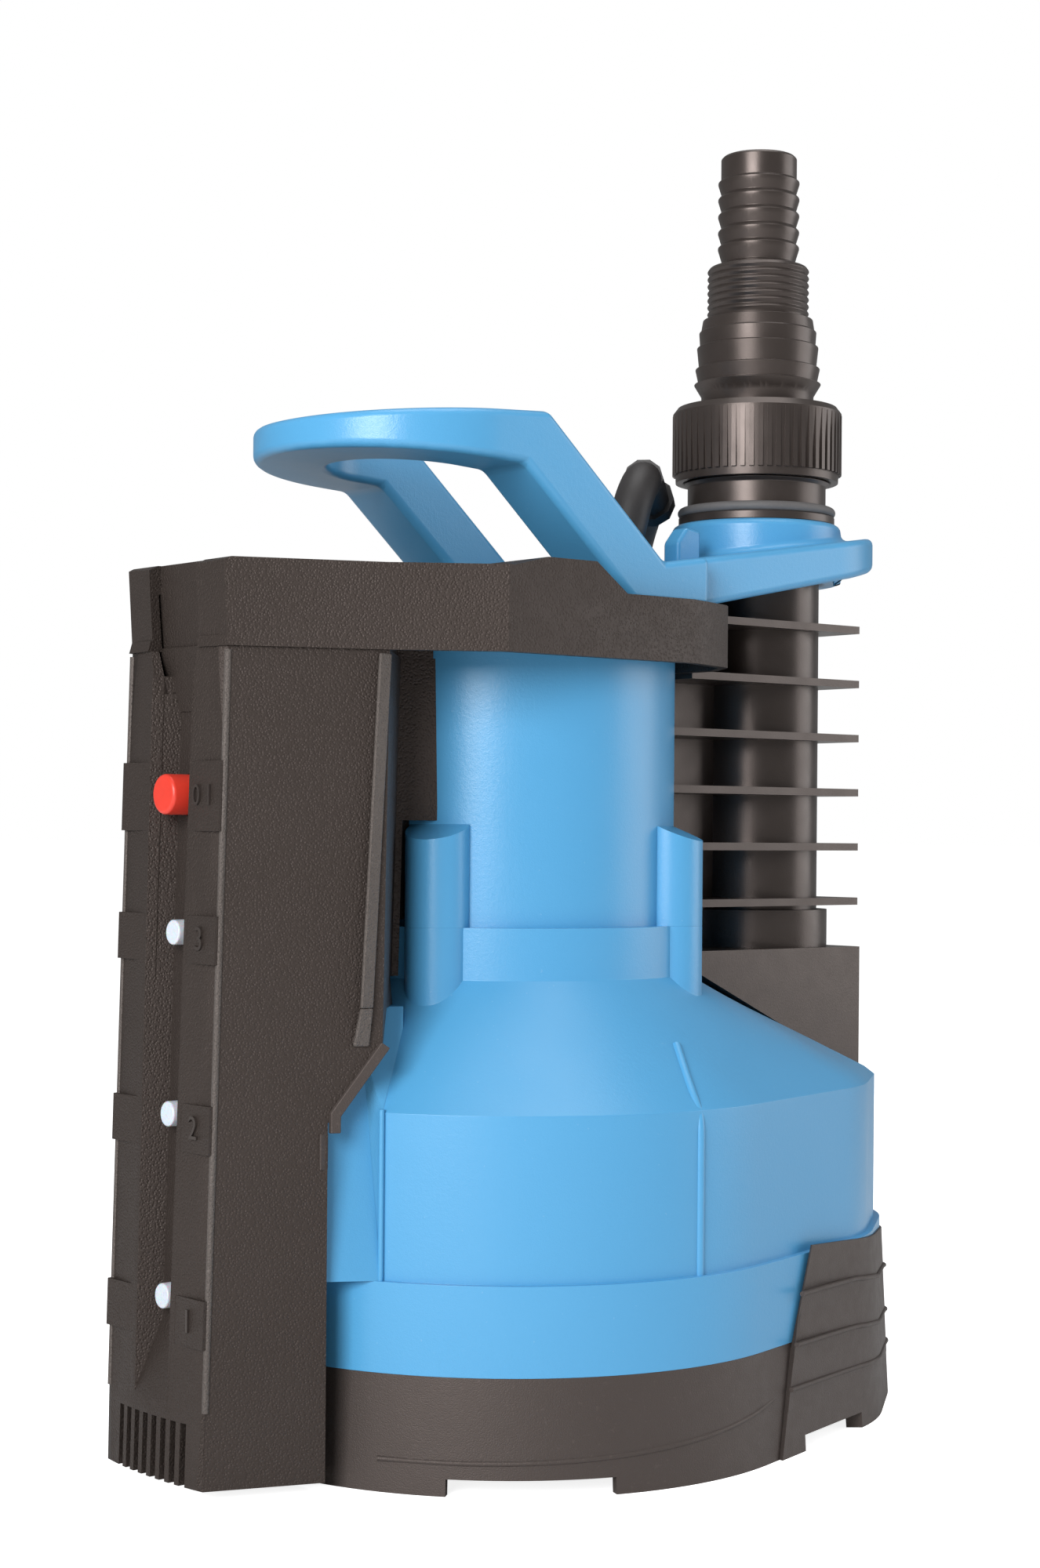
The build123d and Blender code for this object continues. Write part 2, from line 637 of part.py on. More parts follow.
with BuildPart() as top_cap:
    with BuildSketch(level(tower_top)) as hood_plan:
        cap_plan(0)
    extrude(hood_plan.sketch, amount=cap_crown_z - tower_top)
    chamfer(edges().filter_by(Axis.Z).group_by(SortBy.LENGTH)[-1].sort_by(Axis.X)[-4:], cap_corner)
    side_cut([(-tower_reach - beyond, cap_edge_z - cap_slant), (-tower_reach + cap_slant, cap_edge_z),
              (crown_start - cap_bevel, cap_edge_z), (crown_start, cap_crown_z), (crown_end, cap_crown_z),
              (seat_start, cap_seat_z), (cap_end_x + beyond, cap_seat_z),
              (cap_end_x + beyond, cap_crown_z + beyond), (-tower_reach - beyond, cap_crown_z + beyond)],
             cap_side_y + beyond)
    with BuildSketch(level(tower_top)) as hood_hollow:
        cap_plan(wall)
    extrude(hood_hollow.sketch, amount=deck_under - tower_top, mode=Mode.SUBTRACT)
    with BuildSketch(level(tower_top)) as tower_head:
        tower_plan(0)
    extrude(tower_head.sketch, amount=wall)
    with BuildSketch(level(tower_top)) as tower_well:
        tower_plan(tower_wall + 1)
    extrude(tower_well.sketch, amount=deck_under - tower_top, mode=Mode.SUBTRACT)
    block(-tower_reach - 1, -groove_floor - groove_gap, 2 * groove_half, tower_top, cap_crown_z,
          Mode.SUBTRACT)
    disc(motor_r + 1, tower_top, deck_under, mode=Mode.SUBTRACT)
    block(-groove_floor - groove_gap, -groove_floor + wall, 2 * groove_half + wall, tower_top, cap_edge_z)
    tube(rib_r, rib_r - rib_t, housing_top, deck_under)
    disc(gland_hole, deck_under, cap_crown_z, x=gland_x, y=gland_y, mode=Mode.SUBTRACT)
    round_set(handle_screw_spots, screw_r + fit, deck_under, cap_crown_z, Mode.SUBTRACT)
save(top_cap, "top_cap")

# =================================================================================================
# Handle: a half-ring grip on two sloping arms, a foot on the cap and a shelf to the outlet
# =================================================================================================
grip_x, grip_r, grip_bore = -40.0, 45.0, 23.0
grip_top_left, grip_top_right, grip_under = cap_seat_z + 48.4, cap_seat_z + 52.4, cap_seat_z + 36.4
arm_top_x, arm_top_z = -22.0, grip_top_right - 1
arm_foot_x, arm_foot_z = 23.0, cap_seat_z + 11.4
arm_depth = 23.0
foot_x, foot_bridge_x = 41.0, 28.0
foot_top = cap_seat_z + 15.2
shelf_r = 38.0
shelf_end_low, shelf_end_top = outlet_seat - 12.8, outlet_seat - 2.2
arm_run = (arm_foot_z - arm_top_z) / (arm_foot_x - arm_top_x)

grip_under_x = arm_top_x + (grip_under - arm_top_z + arm_depth) / arm_run
foot_under_x = arm_top_x + (cap_seat_z - arm_top_z + arm_depth) / arm_run
shelf_end = pipe_x + shelf_r
outlet_collar_r = 27.6
shelf_low_at_pipe = outlet_seat - 19.5

with BuildPart() as handle_side:
    side_cut([(grip_x - grip_r - 1, grip_under + 3), (grip_x - grip_r - 1, grip_top_left),
              (arm_top_x, grip_top_right), (arm_foot_x, arm_foot_z + 1), (foot_x, foot_top),
              (foot_x, cap_seat_z), (foot_under_x, cap_seat_z), (grip_under_x, grip_under)],
             grip_r + 2, Mode.ADD)

with BuildPart() as shelf:
    side_cut([(foot_bridge_x, cap_seat_z), (foot_x, cap_seat_z), (shelf_end, shelf_end_low),
              (shelf_end, shelf_end_top), (foot_x, foot_top), (foot_bridge_x, foot_top - 2)],
             grip_r + 2, Mode.ADD)
    with BuildSketch(level(cap_seat_z)) as shelf_plan:
        with Locations((pipe_x, 0)):
            Circle(shelf_r)
        Polygon((foot_bridge_x, -shelf_r), (pipe_x, -shelf_r), (pipe_x, shelf_r), (foot_bridge_x, shelf_r),
                align=None)
    extrude(shelf_plan.sketch, amount=grip_top_right, mode=Mode.INTERSECT)

with BuildPart() as handle:
    with BuildSketch(level(cap_seat_z)) as grip_plan:
        with Locations((grip_x, 0)):
            Circle(grip_r)
            Circle(grip_bore, mode=Mode.SUBTRACT)
        Polygon((grip_x, -grip_r), (foot_x, -grip_r), (foot_x, grip_r), (grip_x, grip_r), align=None)
        Polygon((grip_x, -grip_bore), (foot_x + 1, -grip_bore), (foot_x + 1, grip_bore), (grip_x, grip_bore),
                align=None, mode=Mode.SUBTRACT)
        with Locations((grip_x, 0)):
            Circle(grip_bore, mode=Mode.SUBTRACT)
    extrude(grip_plan.sketch, amount=grip_top_right)
    add(handle_side.part, mode=Mode.INTERSECT)
    add(shelf.part)
    disc(outlet_collar_r, shelf_low_at_pipe, outlet_seat, x=pipe_x)
    disc(pipe_r + fit, cap_seat_z, outlet_seat, x=pipe_x, mode=Mode.SUBTRACT)
    disc(shelf_hole, cap_seat_z, grip_under, x=gland_x + boot_lean, y=gland_y, mode=Mode.SUBTRACT)
    round_set(handle_screw_spots, screw_r, cap_seat_z, foot_top - screw_tip, Mode.SUBTRACT)
save(handle, "handle")

with BuildPart() as handle_screws:
    round_set(handle_screw_spots, head_r, deck_under - head_h, deck_under)
    round_set(handle_screw_spots, screw_r - touch, deck_under, foot_top - screw_tip - 1)
save(handle_screws, "handle_screws")

# =================================================================================================
# Pressure pipe: finned riser on a box foot that follows the casing's slope
# =================================================================================================
foot_low_x, foot_high_x, foot_half, foot_block_top = collar_r + 1, 126.0, 27.0, seam_z - 9
pipe_root_r, pipe_root_top = 24.0, seam_z + 3
web_t = 4.0
spigot_low = volute_high + plate_t
pipe_top = outlet_seat - 0.5
stub_r, stub_flange_t = 25.5, 2.5
stub_spigot_r, stub_spigot_l = 17.3, 20.0

with BuildPart() as pressure_pipe:
    side_cut([(foot_low_x, slope_at(foot_low_x)), (foot_high_x, slope_at(foot_high_x)),
              (foot_high_x, foot_block_top), (foot_low_x, foot_block_top)], foot_half, Mode.ADD)
    disc(collar_r + boss_gap, 0, seam_z, mode=Mode.SUBTRACT)
    disc(pipe_r, foot_block_top - wall, pipe_top, x=pipe_x)
    disc(pipe_root_r, foot_block_top, pipe_root_top, x=pipe_x)
    block(motor_r + boss_gap, pipe_x, web_t / 2, pipe_root_top, fin_high)
    for index in range(fin_count):
        height = fin_low + index * (fin_high - fin_low - fin_t) / (fin_count - 1)
        with BuildSketch(level(height)) as fin:
            with Locations(((rib_r + fin_reach) / 2, 0)):
                Rectangle(fin_reach - rib_r, 2 * fin_depth)
            Circle(motor_r + boss_gap, mode=Mode.SUBTRACT)
            with Locations(boss_spots[2], boss_spots[3]):
                Circle(boss_r + boss_gap, mode=Mode.SUBTRACT)
        extrude(fin.sketch, amount=fin_t)
    block(0, cap_end_x + running, cap_side_y, tower_top - wall, cap_crown_z, Mode.SUBTRACT)
    disc(spigot_r, spigot_low, foot_block_top, x=pipe_x)
    disc(pipe_bore, spigot_low, outlet_seat, x=pipe_x, mode=Mode.SUBTRACT)
save(pressure_pipe, "pressure_pipe")

# =================================================================================================
# Outlet: threaded stub, its ring, the captive union nut, a gasket and the stepped hose adapter
# =================================================================================================
o_ring_z = outlet_seat + stub_flange_t
ring_section = 1.6
stub_neck_r = 22.6
stub_thread_low = outlet_seat + 12.5
stub_bore = 14.5


def ridges(root, crest, low, high, pitch):
    """Radius and height points of round ridges up a wall, from low to high."""
    points = []
    for index in range(int((high - low) / pitch)):
        base = low + index * pitch
        points += [(root, base), (crest, base + pitch / 2)]
    return points + [(root, low + int((high - low) / pitch) * pitch)]


with BuildPart() as threaded_outlet:
    turned([(stub_bore, outlet_seat - stub_spigot_l), (stub_spigot_r, outlet_seat - stub_spigot_l),
            (stub_spigot_r, outlet_seat), (stub_r, outlet_seat), (stub_r, o_ring_z),
            (stub_neck_r, o_ring_z),
            *ridges(stub_neck_r, thread_r, stub_thread_low, stub_top - 1, thread_pitch),
            (stub_neck_r, stub_top), (stub_bore, stub_top)], x=pipe_x)
save(threaded_outlet, "threaded_outlet")

with BuildPart() as outlet_o_ring:
    with Locations(level(o_ring_z + ring_section, pipe_x)):
        Torus(stub_neck_r + ring_section, ring_section)
save(outlet_o_ring, "outlet_o_ring")

gasket_t = 2.0
adapter_low = stub_top + gasket_t
flange_top = adapter_low + 4
lip_low = flange_top + running
adapter_bore_low, adapter_bore_high = 14.5, 9.5
with BuildPart() as adapter_gasket:
    tube(stub_neck_r, stub_bore, stub_top, adapter_low, pipe_x)
save(adapter_gasket, "adapter_gasket")

barb = [(r, adapter_low + up) for r, up in (
    (18.4, 12.0), (20.8, 16.0), (19.4, 16.3), (20.4, 21.0), (19.2, 21.3), (19.9, 28.0), (18.9, 28.3),
    (19.2, 33.0), (18.6, 33.3), (18.0, 37.0), (15.8, 37.2))]
small_barbs = [adapter_low + up for up in (61.0, 66.2, 71.6, 77.0, 82.4)]
barb_run, barb_lip = 4.2, 0.6
g1_low, g1_high, g1_root, g1_crest = adapter_low + 38, adapter_low + 54.8, 15.9, 16.7
small_neck, small_root, small_crest, tip_r = 11.9, 12.2, 13.3, 12.4
adapter_top, tip_edge = adapter_low + 90.8, 0.8
bore_step = 20.0

with BuildPart() as hose_adapter:
    steps = []
    for height in small_barbs:
        steps += [(small_root, height - barb_run), (small_crest, height - barb_lip), (small_crest, height)]
    turned([(adapter_bore_low, adapter_low), (stub_neck_r, adapter_low), (stub_neck_r, flange_top),
            (neck_r, flange_top), *barb, *ridges(g1_root, g1_crest, g1_low, g1_high, thread_pitch),
            (small_neck, g1_high + tip_edge), *steps, (tip_r, small_barbs[-1] + barb_lip),
            (tip_r, adapter_top - tip_edge), (tip_r - tip_edge, adapter_top),
            (adapter_bore_high, adapter_top), (adapter_bore_high, g1_high),
            (adapter_bore_low, g1_low - bore_step)], x=pipe_x)
save(hose_adapter, "hose_adapter")

rib_count, rib_proud, rib_w, rib_end = 60, 0.9, 1.5, 2.5
nut_edge, nut_mouth = 2.0, 1.3
nut_lip_bore = neck_r + 2 * running
with BuildPart() as union_nut:
    inner = ridges(stub_neck_r + nut_gap, thread_r + nut_gap, stub_thread_low, stub_top - 1, thread_pitch)
    inner = [(stub_neck_r + nut_gap + nut_mouth, nut_low)] + inner[2:]
    turned([(nut_r - 1, nut_low), (nut_r, nut_high - nut_edge), (nut_r - 1.5, nut_high),
            (nut_lip_bore, nut_high), (nut_lip_bore, lip_low), (stub_neck_r + nut_gap, lip_low), *reversed(inner)], x=pipe_x)
    with BuildSketch(level(nut_low + rib_end)) as ribs:
        with Locations((pipe_x, 0)):
            with PolarLocations(nut_r - 0.8, rib_count):
                Rectangle(2 * rib_proud, rib_w)
    extrude(ribs.sketch, amount=nut_high - nut_low - 2 * rib_end)
save(union_nut, "union_nut")

# =================================================================================================
# Mains lead: boot, free tube, put-away coil, plug
# =================================================================================================
boot_route = [(x, y, deck_under + up) for x, y, up in (
    (44, 3, 0), (47, 3, 22), (53.5, 4, 41), (61, 8, 48.5), (69, 15, 46))]
lead_route = [(69, 15, 292), (80.7, 25.3, 288.3), (90.7, 41.1, 281), (99.3, 56.5, 264.8), (105, 67, 239.6),
              (106, 70.6, 205), (106.3, 72.4, 160), (105.5, 73, 115), (104.3, 72.4, 76), (104, 72, 48.6),
              (108.3, 79.1, 28.3), (116.6, 92.2, 12.7), (127.4, 109.8, 4.4), (138.3, 127.8, 4.3)]
coil_x, coil_y = 72.1, 166.0
coil_turn_pitch = 8.5
coil_columns, coil_layers, coil_mean = 4, 6, 63.65
coil_out = coil_mean + coil_columns * coil_turn_pitch / 2
coil_in = coil_mean - coil_columns * coil_turn_pitch / 2
coil_h = coil_layers * coil_turn_pitch
plug_r, plug_l, plug_relief_l = 15.0, 34.0, 18.0
relief_end_r, relief_root_r, plug_edge = 5.5, 8.5, 2.5
pin_r, pin_gap, pin_l = 2.4, 19.0, 19.0
plug_at, plug_heading = (1.24, 59.72, coil_h + plug_r), (-0.9962, -0.0872, 0)
tail_route = [(coil_x + x, coil_y + y, z) for x, y, z in (
    (75.7, 6.6, 51.3), (67.3, 34.3, 57), (46.6, 53.6, 62), (21.16, 61.46, plug_at[2]), plug_at)]
plug_plane = Plane(origin=(shaft_x + coil_x + plug_at[0], coil_y + plug_at[1], plug_at[2]),
                   x_dir=(0, 0, 1), z_dir=plug_heading)


def corner_radii(points, share=0.45):
    """The largest arc at each corner of a route that leaves its runs room."""
    spots = [Vector(*p) for p in points]
    radii = []
    for before, here, after in zip(spots, spots[1:], spots[2:]):
        half = radians((here - before).get_angle(after - here)) / 2
        radii.append(share * min((here - before).length, (after - here).length) / tan(half))
    return radii


def swept_route(points, r):
    """A round tube along straight runs joined by tangent arcs."""
    moved = [(x + shaft_x, y, z) for x, y, z in points]
    radii = corner_radii(moved)
    print("radii", [round(v, 1) for v in radii])
    with BuildLine() as path:
        FilletPolyline(*moved, radius=radii)
    first = path.line @ 0
    with BuildSketch(Plane(origin=first, z_dir=path.line % 0)) as section:
        Circle(r)
    sweep(section.sketch, path=path.line)
    long = sum(edge.length for edge in path.edges())
    print("length", round(long, 1), "section times length", round(pi * r * r * long, 1))


with BuildPart() as cable_boot:
    swept_route(boot_route, boot_r)
save(cable_boot, "cable_boot")

with BuildPart() as mains_lead:
    swept_route(lead_route, lead_d / 2)
    swept_route(tail_route, lead_d / 2)
save(mains_lead, "mains_lead")

with BuildPart() as lead_coil:
    with BuildSketch(level(0, coil_x, coil_y)) as coil_plan:
        Circle(coil_out)
        Circle(coil_in, mode=Mode.SUBTRACT)
    extrude(coil_plan.sketch, amount=coil_h)
    chamfer(edges().filter_by(GeomType.CIRCLE), 2)
save(lead_coil, "lead_coil")


def along_plug(r, start, end, side=0.0):
    """A round bar along the plug's axis, between two distances from its cord end."""
    with BuildSketch(plug_plane.offset(start)) as section:
        with Locations((0, side)):
            Circle(r)
    extrude(section.sketch, amount=end - start)


with BuildPart() as plug_body:
    with BuildSketch(plug_plane) as relief_end:
        Circle(relief_end_r)
    with BuildSketch(plug_plane.offset(plug_relief_l)) as relief_root:
        Circle(relief_root_r)
    loft([relief_end.sketch, relief_root.sketch])
    along_plug(plug_r, plug_relief_l, plug_relief_l + plug_l)
    chamfer(edges().filter_by(GeomType.CIRCLE).filter_by(lambda e: e.radius > plug_r - 1), plug_edge)
save(plug_body, "plug_body")

with BuildPart() as plug_pins:
    for side in (pin_gap / 2, -pin_gap / 2):
        along_plug(pin_r, plug_relief_l + plug_l, plug_relief_l + plug_l + pin_l, side)
save(plug_pins, "plug_pins")
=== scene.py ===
import json
from math import copysign, cos, hypot, pi, radians, sin

import bmesh
import bpy
from mathutils import Matrix, Vector


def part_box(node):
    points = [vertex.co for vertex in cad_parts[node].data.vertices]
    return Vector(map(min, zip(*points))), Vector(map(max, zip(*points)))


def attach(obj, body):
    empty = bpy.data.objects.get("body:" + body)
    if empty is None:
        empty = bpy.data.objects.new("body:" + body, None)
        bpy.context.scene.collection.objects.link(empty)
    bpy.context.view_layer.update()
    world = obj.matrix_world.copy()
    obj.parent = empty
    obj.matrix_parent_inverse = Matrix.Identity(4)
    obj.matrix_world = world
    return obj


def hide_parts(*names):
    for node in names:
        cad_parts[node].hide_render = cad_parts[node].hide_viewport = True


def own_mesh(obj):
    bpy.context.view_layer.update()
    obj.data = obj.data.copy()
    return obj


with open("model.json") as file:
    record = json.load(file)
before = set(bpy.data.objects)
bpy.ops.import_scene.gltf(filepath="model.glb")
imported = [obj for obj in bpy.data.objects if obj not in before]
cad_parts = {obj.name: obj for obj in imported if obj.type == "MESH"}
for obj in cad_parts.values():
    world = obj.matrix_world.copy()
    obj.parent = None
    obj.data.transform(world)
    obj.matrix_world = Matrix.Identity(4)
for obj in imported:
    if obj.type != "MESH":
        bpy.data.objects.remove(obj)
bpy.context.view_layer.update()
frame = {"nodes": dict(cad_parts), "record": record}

# Places and sizes are in millimetres, from the shaft's axis and the ground, except where a comment
# says metres. at() turns a place into the frame's metres.
MM = 0.001
shaft_low, shaft_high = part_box("shaft")
SHAFT_X = (shaft_low.x + shaft_high.x) / 2


def at(x, y, z):
    return SHAFT_X + x * MM, y * MM, z * MM


def add_object(name, data):
    """A new object in the scene, unturned and at the origin."""
    thing = bpy.data.objects.new(name, data)
    bpy.context.scene.collection.objects.link(thing)
    return thing


# =================================================================================================
# Materials
# =================================================================================================
WARM_SHEEN = (1.0, 0.84, 0.78, 1.0)


def scaled(color, share):
    return tuple(share * c for c in color)


class Nodes:
    """Short ways to add and join the nodes of one material. Its distances are in metres."""

    def __init__(self, name):
        self.material = bpy.data.materials.new(name)
        self.material.use_nodes = True
        self.tree = self.material.node_tree
        self.shader = self.tree.nodes["Principled BSDF"]
        self.where = self.add("ShaderNodeTexCoord").outputs["Object"]

    def add(self, kind, **settings):
        node = self.tree.nodes.new(kind)
        for key, value in settings.items():
            setattr(node, key, value)
        return node

    def join(self, source, target):
        self.tree.links.new(source, target)

    def noise(self, scale, detail, roughness=0.5):
        node = self.add("ShaderNodeTexNoise")
        node.inputs["Scale"].default_value = scale
        node.inputs["Detail"].default_value = detail
        node.inputs["Roughness"].default_value = roughness
        self.join(self.where, node.inputs["Vector"])
        return node.outputs["Fac"]

    def cells(self, scale):
        node = self.add("ShaderNodeTexVoronoi", feature="F1")
        node.inputs["Scale"].default_value = scale
        self.join(self.where, node.inputs["Vector"])
        return node.outputs["Distance"]

    def ramp(self, source, stops):
        """A grey ramp: stops are (position, grey value)."""
        node = self.add("ShaderNodeValToRGB")
        elements = node.color_ramp.elements
        while len(elements) < len(stops):
            elements.new(0.5)
        for element, (position, grey) in zip(elements, stops):
            element.position = position
            element.color = (grey, grey, grey, 1)
        self.join(source, node.inputs["Fac"])
        return node.outputs["Color"]

    def mix(self, share, first, second):
        """Blend two colours or sockets by a number or a socket."""
        node = self.add("ShaderNodeMix", data_type="RGBA")
        for key, value in (("Factor", share), ("A", first), ("B", second)):
            socket = [s for s in node.inputs if s.name == key and s.enabled][0]
            if isinstance(value, float):
                socket.default_value = value
            elif isinstance(value, tuple):
                socket.default_value = (*value, 1)
            else:
                self.join(value, socket)
        return [s for s in node.outputs if s.enabled][0]

    def span(self, source, low, high):
        """Map 0..1 to low..high."""
        node = self.add("ShaderNodeMapRange")
        node.inputs["To Min"].default_value = low
        node.inputs["To Max"].default_value = high
        self.join(source, node.inputs["Value"])
        return node.outputs["Result"]

    def bump(self, height, strength, distance, under=None):
        node = self.add("ShaderNodeBump")
        node.inputs["Strength"].default_value = strength
        node.inputs["Distance"].default_value = distance
        self.join(height, node.inputs["Height"])
        if under is not None:
            self.join(under, node.inputs["Normal"])
        return node.outputs["Normal"]

    def finish(self, color, roughness, normal, **fixed):
        """Join colour, roughness and normal to the shader, and set its other inputs by name."""
        for source, key in ((color, "Base Color"), (roughness, "Roughness"), (normal, "Normal")):
            self.join(source, self.shader.inputs[key])
        self.fix(**fixed)
        return self.material

    def fix(self, **fixed):
        for key, value in fixed.items():
            self.shader.inputs[key.replace("_", " ")].default_value = value


def satin_plastic(name, color, pale):
    """Moulded plastic with a fine spark-eroded skin, faint flow marks and specks of dust."""
    n = Nodes(name)
    cloud = n.noise(26, detail=4, roughness=0.6)
    grain = n.noise(2600, detail=2, roughness=0.6)
    dust = n.ramp(n.noise(900, detail=1, roughness=0.4), [(0.0, 0.0), (0.78, 0.0), (0.8, 1.0)])
    base = n.mix(n.span(cloud, 0.0, 0.28), color, pale)
    dusted = n.mix(n.span(dust, 0.0, 0.12), base, tuple(0.5 * c + 0.4 for c in pale))
    skin = n.bump(grain, strength=0.32, distance=0.00012)
    gloss = n.span(n.noise(60, detail=3), 0.24, 0.38)
    return n.finish(dusted, gloss, n.bump(n.noise(900, detail=2), 0.14, 0.0003, under=skin))


def grained_plastic(name, color, second_tone, depth, cell=1300):
    """Black plastic with an embossed leather grain that catches the light on its ridges."""
    n = Nodes(name)
    pits = n.cells(cell)
    mottle = n.noise(1700, detail=3, roughness=0.7)
    height = n.mix(0.45, n.ramp(pits, [(0.0, 0.0), (0.55, 1.0)]), mottle)
    specks = n.ramp(n.noise(700, detail=2), [(0.0, 0.0), (0.66, 0.0), (0.72, 1.0)])
    tone = n.mix(n.span(n.noise(34, detail=4), 0.0, 0.6), color, second_tone)
    tone = n.mix(n.span(specks, 0.0, 0.1), tone, scaled(second_tone, 3.0))
    return n.finish(tone, n.span(n.noise(240, detail=3), 0.42, 0.62),
                    n.bump(height, depth, distance=0.00035), Specular_Tint=WARM_SHEEN)


def smooth_black(name, color, rough, grain, sheen):
    """Satin black moulding: faint flow marks, scuffs and a fine skin."""
    n = Nodes(name)
    streak = n.noise(90, detail=4, roughness=0.7)
    tone = n.mix(n.span(streak, 0.0, 0.55), color, scaled(color, 1.7))
    skin = n.bump(n.noise(2200, detail=2), grain, distance=0.00012)
    return n.finish(tone, n.span(n.noise(150, detail=3), rough - 0.07, rough + 0.1), skin,
                    Specular_Tint=WARM_SHEEN, Specular_IOR_Level=sheen)


def rubber(name, color, rough):
    """Dull rubber with a chalky bloom."""
    n = Nodes(name)
    bloom = n.noise(180, detail=5, roughness=0.7)
    tone = n.mix(n.span(bloom, 0.0, 0.5), color, scaled(color, 2.2))
    return n.finish(tone, n.span(bloom, rough - 0.08, rough + 0.12),
                    n.bump(n.noise(1500, detail=3), strength=0.3, distance=0.0002))


def glossy_button(name, color, deep):
    """Bright moulded cap with slightly uneven gloss."""
    n = Nodes(name)
    tone = n.mix(n.span(n.noise(320, detail=3), 0.0, 0.6), color, deep)
    return n.finish(tone, n.span(n.noise(500, detail=2), 0.28, 0.42),
                    n.bump(n.noise(1400, detail=2), strength=0.12, distance=0.0002),
                    Subsurface_Weight=0.15, Subsurface_Scale=0.002)


def frosted(name, color, pale):
    """Translucent white plastic."""
    n = Nodes(name)
    tone = n.mix(n.span(n.noise(700, detail=3), 0.0, 0.5), color, pale)
    return n.finish(tone, n.span(n.noise(400, detail=2), 0.2, 0.36),
                    n.bump(n.noise(1100, detail=2), strength=0.15, distance=0.0002),
                    Subsurface_Weight=0.5, Subsurface_Scale=0.003)


def metal(name, color, rough, scale=700):
    """Turned or drawn metal with fine tool marks."""
    n = Nodes(name)
    tone = n.mix(n.span(n.noise(scale, detail=4), 0.0, 0.4), color, scaled(color, 0.7))
    return n.finish(tone, n.span(n.noise(scale / 2, detail=3), rough - 0.06, rough + 0.1),
                    n.bump(n.noise(2 * scale, detail=2), strength=0.12, distance=0.0001),
                    Metallic=1.0)


BLUE = satin_plastic("blue_plastic", (0.078, 0.33, 0.6), pale=(0.11, 0.37, 0.64))
BLACK_GRAIN = grained_plastic("black_grained_plastic", (0.021, 0.016, 0.0135),
                              second_tone=(0.034, 0.027, 0.024), depth=0.8)
BLACK_FINE = grained_plastic("black_fine_plastic", (0.044, 0.036, 0.033),
                             second_tone=(0.06, 0.05, 0.046), depth=0.35, cell=2200)
BLACK = smooth_black("black_moulding", (0.022, 0.018, 0.016), rough=0.3, grain=0.2, sheen=0.7)
BLACK_GLOSS = smooth_black("black_gloss_moulding", (0.024, 0.0195, 0.0175), rough=0.32, grain=0.1,
                           sheen=0.75)
# Painted highlight: a lighter grained black whose colour stands in for the light caught on the
# tower's crease strips and corner edges.
PAINTED_HIGHLIGHT_EDGE = grained_plastic("black_painted_highlight_edge", (0.062, 0.054, 0.049), second_tone=(0.12, 0.107, 0.1),
                            depth=1.0)
GREY_RUBBER = rubber("grey_rubber", (0.09, 0.086, 0.086), rough=0.62)
BLACK_RUBBER = rubber("black_rubber", (0.022, 0.02, 0.02), rough=0.5)
RED = glossy_button("red_button", (0.76, 0.05, 0.028), deep=(0.6, 0.035, 0.02))
WHITE = frosted("frosted_white", (0.6, 0.66, 0.72), pale=(0.62, 0.7, 0.8))
STEEL = metal("stainless_steel", (0.62, 0.61, 0.6), rough=0.3)
SHEET_STEEL = metal("stacked_sheet_steel", (0.25, 0.26, 0.3), rough=0.45, scale=1600)
COPPER = metal("enamelled_copper", (0.72, 0.32, 0.14), rough=0.3, scale=1200)
NICKEL = metal("nickel_plate", (0.7, 0.68, 0.63), rough=0.22)
CIRCUIT = satin_plastic("solder_mask", (0.02, 0.17, 0.06), pale=(0.03, 0.24, 0.09))


# =================================================================================================
# Mesh helpers
# =================================================================================================
SHARP = 32  # degrees: a steeper edge stays crisp, and a bevel rounds it
WELD = 0.01  # mm: nearer points become one
FLAT = radians(0.6)  # faces that meet at less become one


def mesh_from(bm, name, material):
    mesh = bpy.data.meshes.new(name)
    bm.to_mesh(mesh)
    bm.free()
    mesh.materials.append(material)
    return mesh


def piece_from(bm, name, material, body="root", sharp=SHARP, bevel=0.0, segments=2):
    """Make one finished piece of a bmesh: smooth between soft edges, rounded by bevel."""
    for edge in bm.edges:
        edge.smooth = len(edge.link_faces) == 2 and edge.calc_face_angle(pi) < radians(sharp)
    for face in bm.faces:
        face.smooth = True
    piece = add_object(name, mesh_from(bm, name, material))
    if bevel:
        rounded = piece.modifiers.new("rounded_edges", "BEVEL")
        rounded.width = bevel * MM
        rounded.segments = segments
        rounded.limit_method = "ANGLE"
        rounded.angle_limit = radians(sharp)
        rounded.use_clamp_overlap = True
        rounded.harden_normals = True
    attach(piece, body)
    return piece


def body_of(node):
    """The body that a CAD node belongs to."""
    bodies = frame["record"]["behaviour"]["bodies"]
    return next(body for body, members in bodies.items() if node in members)


def rounded_node(node, material, bevel=0.0, sharp=SHARP, segments=2, shape=None, merge=WELD):
    """A merged copy of a CAD node with soft shading and rounded edges, in the node's place.

    shape takes a point in millimetres and gives its shift, in millimetres."""
    bm = bmesh.new()
    bm.from_mesh(frame["nodes"][node].data)
    bmesh.ops.remove_doubles(bm, verts=bm.verts, dist=merge * MM)
    bmesh.ops.dissolve_limit(bm, angle_limit=FLAT, verts=bm.verts, edges=bm.edges)
    if shape:
        for vert in bm.verts:
            x, y, z = (vert.co.x - SHAFT_X) / MM, vert.co.y / MM, vert.co.z / MM
            vert.co += Vector(shape(x, y, z)) * MM
    piece = piece_from(bm, node + "_skin", material, body_of(node), sharp, bevel, segments)
    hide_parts(node)
    return piece


def paint(node, material):
    """Give a CAD node that keeps its own shape a finish."""
    data = frame["nodes"][node].data
    data.materials.clear()
    data.materials.append(material)
    for polygon in data.polygons:
        polygon.material_index = 0


